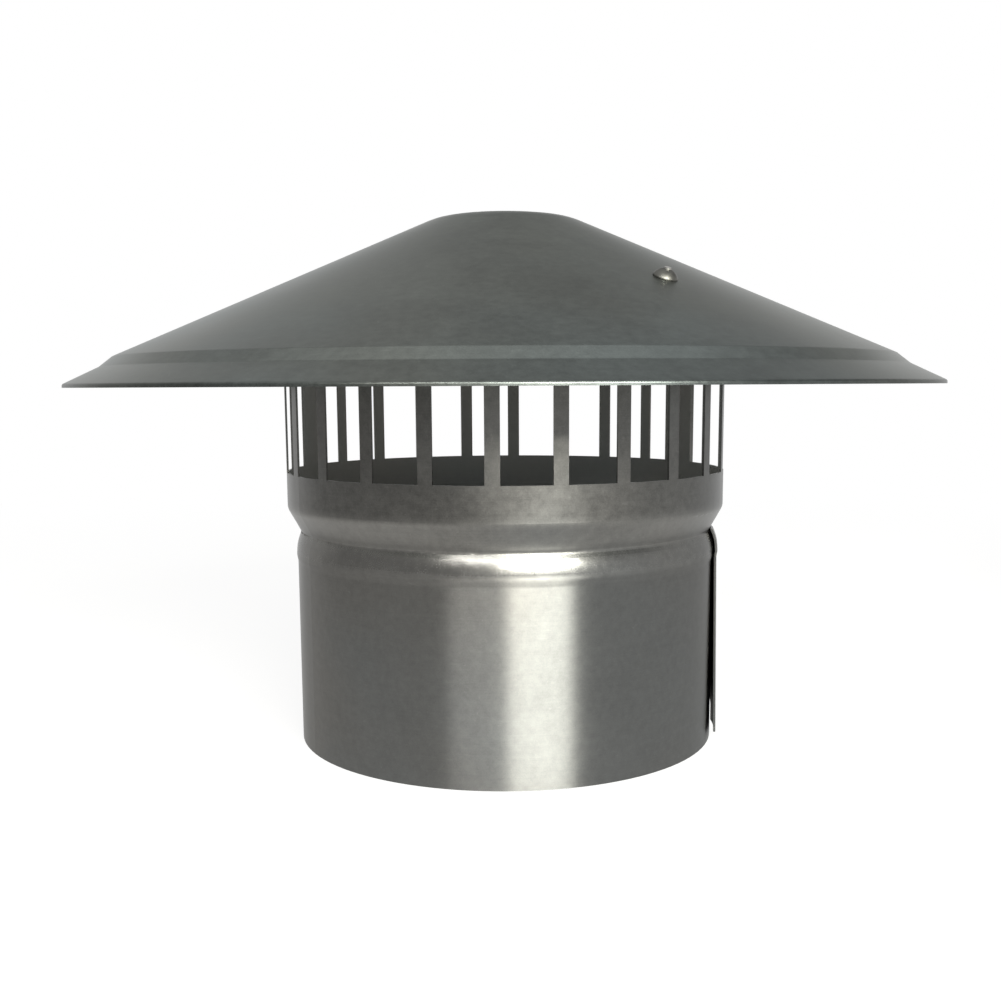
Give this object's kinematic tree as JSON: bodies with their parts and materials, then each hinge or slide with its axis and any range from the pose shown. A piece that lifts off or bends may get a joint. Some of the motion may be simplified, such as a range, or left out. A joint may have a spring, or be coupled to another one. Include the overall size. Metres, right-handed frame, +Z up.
{
  "type": "exhaust vent cap",
  "caption": "Conical rain hat riveted to a slotted sheet-metal collar with a grooved skirt that slips over the end of a round exhaust duct.",
  "frame": {"origin": "centre of the skirt's bottom edge, on the axis of the pipe it slips over", "axes": "+Z up along the duct axis towards the crown; -Y is the front, the side the picture shows; +X is to the right seen from the front"},
  "size_m": [0.3036, 0.3036, 0.1863],
  "materials": {
    "hat_sheet": "satin mill finish",
    "body_sheet": "satin mill finish",
    "rivet_shell": "plain",
    "rivet_pin": "bright plated"
  },
  "bodies": {
    "root": {"hat": "hat_sheet", "body": "body_sheet", "rivet_front": "rivet_shell", "rivet_back": "rivet_shell", "rivet_left": "rivet_shell", "mandrel_front": "rivet_pin", "mandrel_back": "rivet_pin", "mandrel_left": "rivet_pin"}
  },
  "joints": []
}
